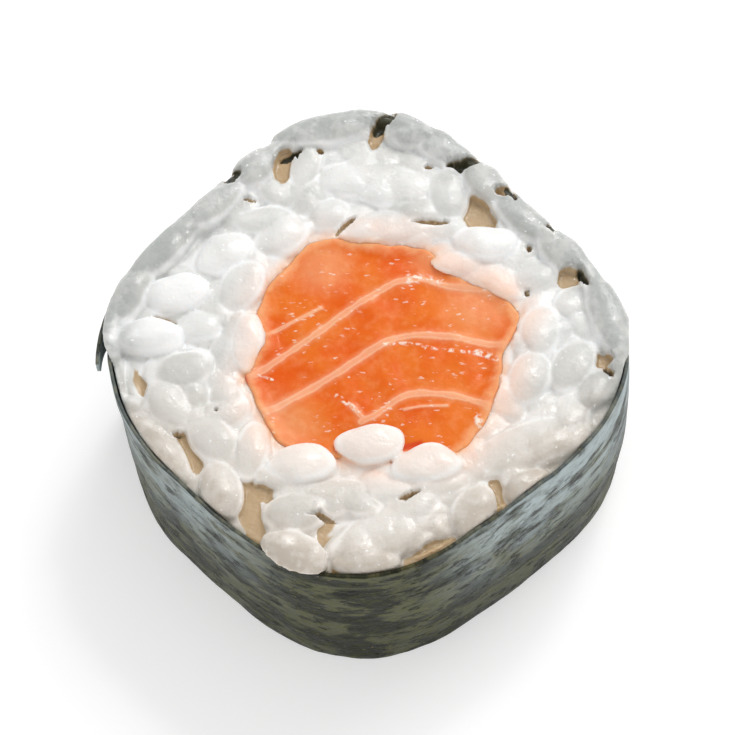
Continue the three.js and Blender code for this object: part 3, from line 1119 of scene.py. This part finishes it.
def makeSalmonMaterial():
    look = salmonLook
    material, tree, shader = newMaterial("salmon")
    place = objectPlace(tree)
    wobble = mathNode(tree, "SUBTRACT", relief(tree, place, 700, 3000, 0.5, 1.8), 1.15)
    patches = mottle(tree, place, 240, 0.35, 0.65)
    edge = add(tree, attributeValue(tree, "edge"), multiply(tree, wobble, 0.8))
    paleShare = rangeNode(tree, edge, 0, 1.1, 0.8, 0)
    paleSide = rangeNode(tree, attributeValue(tree, "paleSide"), 0.1, 0.8, 0, 0.5)
    paleShare = mathNode(tree, "MAXIMUM", paleShare, paleSide)
    grainy = mottle(tree, place, 1700, 0.4, 0.75)
    paleShare = add(tree, paleShare, multiply(tree, grainy, 0.2), clamp=True)
    # a line of fat has pale borders and a pinker middle
    distance = add(tree, attributeValue(tree, "fat"), wobble)
    halo = rangeNode(tree, distance, 0.8, 3.4, 0.2, 0)
    colour = paint(tree, look, look["flesh"], deep=patches, pale=paleShare, fat=halo)
    line = rangeNode(tree, distance, 0.6, 1.5, 0.36, 0)
    border = mathNode(tree, "ABSOLUTE", mathNode(tree, "SUBTRACT", distance, 0.8))
    fatShare = mathNode(tree, "MAXIMUM", line, rangeNode(tree, border, 0, 0.8, 0.58, 0))
    fading = rangeNode(tree, attributeValue(tree, "edge"), 0.2, 1.4, 0.2, 1)
    fatShare = multiply(tree, fatShare, fading)
    # painted highlights: white wet glints, in short rows and along the white marks
    paintedGloss = add(tree, attributeValue(tree, "white"), multiply(tree, wobble, 1.6))
    paintedGloss = rangeNode(tree, paintedGloss, 0.2, 1.6, 0.85, 0)
    paintedGloss = multiply(tree, paintedGloss, mottle(tree, place, 2600, 0.44, 0.6))
    clusters = mottle(tree, place, 420, 0.42, 0.6)
    streaks = stretch(tree, place, look["streaks"], look["streakTurn"])
    paintedWetGlints = specks(tree, streaks, 3000, 0.34, 0.26)
    paintedWetGlints = multiply(tree, paintedWetGlints, multiply(tree, clusters, 0.45))
    # the painted highlights together
    pale = mathNode(tree, "MAXIMUM", paintedGloss, paintedWetGlints)
    blood = rangeNode(tree, add(tree, attributeValue(tree, "red"), wobble), 0.3, 1.8, 0.7, 0)
    colour = paint(tree, look, colour, fat=fatShare, white=pale, red=blood)
    tree.links.new(colour, shader.inputs["Base Color"])
    height = add(tree, relief(tree, place, 600, 2400, 0.35), multiply(tree, pale, 0.8))
    bumpFrom(tree, shader, height, look["relief"] * mm, 0.5)
    setSockets(
        shader, Roughness=0.38, Specular_IOR_Level=0.2, Specular_Tint=look["shine"],
        Subsurface_Weight=0.3, Subsurface_Radius=look["scatter"],
        Subsurface_Scale=look["scatterDepth"] * mm, Coat_Weight=0.06, Coat_Roughness=0.08,
    )
    return material


salmonMaterial = makeSalmonMaterial()
salmonMesh = {
    "around": 300,
    "across": 96,
    "up": 10,
    "edge": 0.14 / 9,  # share of the reach that the rounding of the cut edge takes
    "footInner": 0.5,
    "roundings": (0.05, 0.15),  # heights over the foot and under the top
    "upperFrom": 15,  # height over which the cut is shaped
    "brim": 0.25,
    "brimBand": (1.4, 0.1),
    "fatRise": 0.08,
    "fatSpread": 3,
    "sunk": 0.04,
    "uneven": 0.12,
    "unevenScale": 0.5,
}


def makeSalmon():
    # the slab's half profile is spun, then pushed out to its outline
    shape, top = salmonMesh, salmonShape["top"]
    edge, (low, high) = shape["edge"], shape["roundings"]
    bm = bmesh.new()
    profile = [(0, 0), (shape["footInner"], 0), (1 - edge, 0), (1 - 0.3 * edge, low)]
    profile += [(1, high + (top - 2 * high) * i / shape["up"]) for i in range(shape["up"] + 1)]
    profile += [(1 - 0.3 * edge, top - low)]
    inward = [(1 - edge) * (1 - i / shape["across"]) for i in range(shape["across"] + 1)]
    profile += [(share, top + salmonShape["crown"] * (1 - share * share)) for share in inward]
    spinProfile(bm, profile, shape["around"], closed=False)
    bmesh.ops.remove_doubles(bm, verts=bm.verts, dist=1e-5)
    bmesh.ops.recalc_face_normals(bm, faces=bm.faces)
    edgeDistances = []
    for vert in bm.verts:
        angle, share = polarOf(vert.co)
        reach = salmonReach(angle) * share
        edgeDistances.append(salmonReach(angle) - reach)
        vert.co.x, vert.co.y = besideSalmon(angle, reach)
    places = numpy.array([vert.co[:2] for vert in bm.verts])
    distances = {name: distanceToMarks(places, marks) for name, marks in salmonMarks.items()}
    for vert, near, inward in zip(bm.verts, distances["fat"], edgeDistances):
        if vert.co.z > shape["upperFrom"]:
            across = Vector((vert.co.x, vert.co.y, 0)) * shape["unevenScale"]
            vert.co.z += shape["fatRise"] * math.exp(-near * near / shape["fatSpread"]) - shape["sunk"]
            vert.co.z += shape["brim"] * smoothStep(*shape["brimBand"], inward)
            vert.co.z += shape["uneven"] * noise.noise(across)
    piece = finishPiece(bm, "salmonSlab", salmonMaterial, "salmon", "salmon")
    writeAttribute(piece, "edge", edgeDistances)
    writeAttribute(piece, "paleSide", paleShares(places))
    for name, values in distances.items():
        writeAttribute(piece, name, values)
    return piece


salmon = makeSalmon()
print("salmon done:", len(salmon.data.polygons), "faces")


# nori
noriSheet = {  # degrees and millimetres
    "tear": 11,
    "tearFrom": 0.95,
    "tearTo": 0.72,
    "tearRagged": 1.2,
    "lift": 0.3,
    "liftSpan": 16,
    "bulge": 0.3,
    "thickness": 0.24,
    "alongSteps": 460,
    "upSteps": 48,
    "wrinkle": 0.12,
    "fineWrinkle": 0.03,
    "fringe": 0.12,
    "size": (12.4, 1.6),  # centimetres
}
noriLook = {
    "dark": (0.012, 0.014, 0.006),
    "light": (0.112, 0.115, 0.058),
    "sheen": (0.44, 0.51, 0.52),  # painted sheen: a blue-grey reflection on the flanks
    "speck": (0.008, 0.009, 0.005),
    "olive": (0.26, 0.20, 0.07),
    "edge": (0.09, 0.08, 0.035),
    "stretch": (0.62, 1.15),
    "stretchTurn": 3,
    "ridges": (0.12, 6),
    "relief": 0.16,  # millimetres
}


def makeNoriMaterial():
    look = noriLook
    material, tree, shader = newMaterial("nori")
    place = addNode(tree, "ShaderNodeUVMap").outputs[0]
    up, sides = axesOf(tree, place)["Y"], axesOf(tree, objectPlace(tree))
    along = stretch(tree, place, look["stretch"], look["stretchTurn"])
    broad = mottle(tree, along, 3.2, 0.44, 0.57, Detail=8, Roughness=0.6)
    fine = mottle(tree, along, 15, 0.42, 0.6, Detail=6, Roughness=0.65)
    mix = add(tree, multiply(tree, broad, 0.55), multiply(tree, fine, 0.45))
    # painted shade: the lighter mottle fades towards the bottom, near the floor
    low = rangeNode(tree, sides["Z"], 1 * mm, 9 * mm, 0.72, 1)
    mix = multiply(tree, rangeNode(tree, mix, 0.1, 0.9), low)
    colour = paint(tree, look, look["dark"], light=mix)
    # faint ridges that run along the top edge
    ridge = mottle(tree, stretch(tree, place, look["ridges"]), 3.4, 0.5, 0.66, Detail=2)
    ridge = multiply(tree, ridge, rangeNode(tree, up, 1.05, 1.35, 0, 0.55))
    # painted sheen: a reflection that lies on the flanks, more of it higher up and towards the right
    flank = rangeNode(tree, mathNode(tree, "ABSOLUTE", sides["X"]), 3.5 * mm, 12 * mm)
    high = rangeNode(tree, sides["Z"], 3.5 * mm, 14.5 * mm, 0.06, 1)
    sheenShare = mottle(tree, along, 4, 0.36, 0.56, Detail=7, Roughness=0.62)
    sheenShare = multiply(tree, add(tree, sheenShare, multiply(tree, fine, 0.4)), 0.62)
    sheenShare = multiply(tree, sheenShare, multiply(tree, flank, high))
    rightward = rangeNode(tree, sides["X"], -16 * mm, 17 * mm, 0.9, 1.22)
    sheenShare = multiply(tree, sheenShare, rightward, clamp=True)
    dark = mottle(tree, along, 9, 0.545, 0.6, Detail=7, Roughness=0.65)
    calm = mathNode(tree, "SUBTRACT", 0.85, multiply(tree, sheenShare, 0.6))
    spots = multiply(tree, dark, calm)
    colour = paint(tree, look, colour, light=ridge, sheen=sheenShare, speck=spots)
    # the painted sheen gathers in a band just under the top edge
    brim = multiply(tree, rangeNode(tree, up, 1.42, 1.54, 0, 0.5), flank)
    olive = specks(tree, place, 30, 0.24, 0.05)
    colour = paint(tree, look, colour, sheen=multiply(tree, brim, broad), olive=olive)
    edge = rangeNode(tree, up, 1.58, 1.598, 0, 0.75)
    colour = colourMix(tree, edge, colour, colourMix(tree, fine, look["speck"], look["edge"]))
    tree.links.new(colour, shader.inputs["Base Color"])
    tree.links.new(rangeNode(tree, fine, 0, 1, 0.42, 0.65), shader.inputs["Roughness"])
    height = relief(tree, along, 12, 50, 0.5)
    height = mathNode(tree, "SUBTRACT", height, multiply(tree, dark, 0.3))
    bumpFrom(tree, shader, height, look["relief"] * mm, 0.7)
    setSockets(shader, Specular_IOR_Level=0.12)
    return material


noriMaterial = makeNoriMaterial()


def makeNori():
    # a flat grid, curled once round the rice and on over its own start
    shape = noriSheet
    bm = bmesh.new()
    layer = bm.loops.layers.uv.new("sheet")
    bmesh.ops.create_grid(
        bm, x_segments=shape["alongSteps"], y_segments=shape["upSteps"], size=0.5, calc_uvs=True,
    )
    sheetLength, sheetWidth = shape["size"]
    for face in bm.faces:
        for loop in face.loops:
            along, up = loop.vert.co.x + 0.5, loop.vert.co.y + 0.5
            loop[layer].uv = (along * sheetLength, up * sheetWidth)
    inner, fade = math.radians(lap["innerEnd"]), math.radians(shape["liftSpan"])
    for vert in bm.verts:
        along, up = vert.co.x + 0.5, vert.co.y + 0.5
        torn = shape["tear"] * (1 - smoothStep(shape["tearTo"], shape["tearFrom"], up))
        ragged = shape["tearRagged"] * noise.noise(Vector((up * 5, 3.1, 0)))
        end = fullTurn + math.radians(lap["outerEnd"] - torn + ragged)
        angle = inner + along * (end - inner)
        loose = max(angle - (end - fade), 0) / fade
        folds = Vector((angle * 4.5, up * 4.0, 0))
        wrinkle = shape["wrinkle"] * noise.noise(folds) + shape["fineWrinkle"] * noise.noise(folds * 4)
        radius = rollReach(angle) - lap["step"] * lapShare(angle) + shape["lift"] * loose ** 2
        radius += shape["bulge"] * math.sin(math.pi * up) * max(math.cos(angle), 0)
        radius += wrinkle * (1 - loose)
        fringe = shape["fringe"] * noise.noise(Vector((angle * 9, 8.8, 0))) * up
        vert.co = (*onCircle(angle, radius), up * (edgeHeight(angle) + fringe))
    piece = finishPiece(bm, "noriWrap", noriMaterial, "nori", "nori")
    wall = piece.modifiers.new("wall", "SOLIDIFY")
    wall.thickness = shape["thickness"] * mm
    wall.offset = -1
    applyModifiers(piece)
    return piece


nori = makeNori()
print("nori done:", len(nori.data.polygons), "faces")


# stage and light
stageSetup = {
    "size": 1.2,
    "colour": (0.72, 0.72, 0.72, 1),
    "light": (1, 1, 1, 1),
    "glow": 0.36,
    "world": 0.78,
}
lampSetups = {
    "softbox": {"place": (0.16, 0.26, 0.34), "size": 0.25, "power": 0.85},
    "sparkle": {"place": (0.10, 0.22, 0.40), "size": 0.04, "power": 0.15},
}


def makeStage():
    bm = bmesh.new()
    bmesh.ops.create_grid(bm, x_segments=1, y_segments=1, size=stageSetup["size"])
    mesh = bpy.data.meshes.new("floor")
    bm.to_mesh(mesh)
    bm.free()
    floor = bpy.data.objects.new("floor", mesh)
    scene.collection.objects.link(floor)
    material, tree, shader = newMaterial("pale floor")
    setSockets(
        shader, Base_Color=stageSetup["colour"], Roughness=0.8,
        Emission_Color=stageSetup["light"], Emission_Strength=stageSetup["glow"],
    )
    mesh.materials.append(material)


def makeLight():
    world = bpy.data.worlds.new("studio")
    scene.world = world
    world.use_nodes = True
    background = world.node_tree.nodes["Background"]
    setSockets(background, Color=stageSetup["light"], Strength=stageSetup["world"])
    for name, setup in lampSetups.items():
        lamp = bpy.data.lights.new(name, "AREA")
        lamp.energy = setup["power"]
        lamp.size = setup["size"]
        light = bpy.data.objects.new(name, lamp)
        scene.collection.objects.link(light)
        place = Vector(setup["place"])
        turn = place.to_track_quat("Z", "Y").to_matrix().to_4x4()
        light.matrix_world = Matrix.Translation(place) @ turn
    scene.view_settings.view_transform = "Standard"


makeStage()
makeLight()
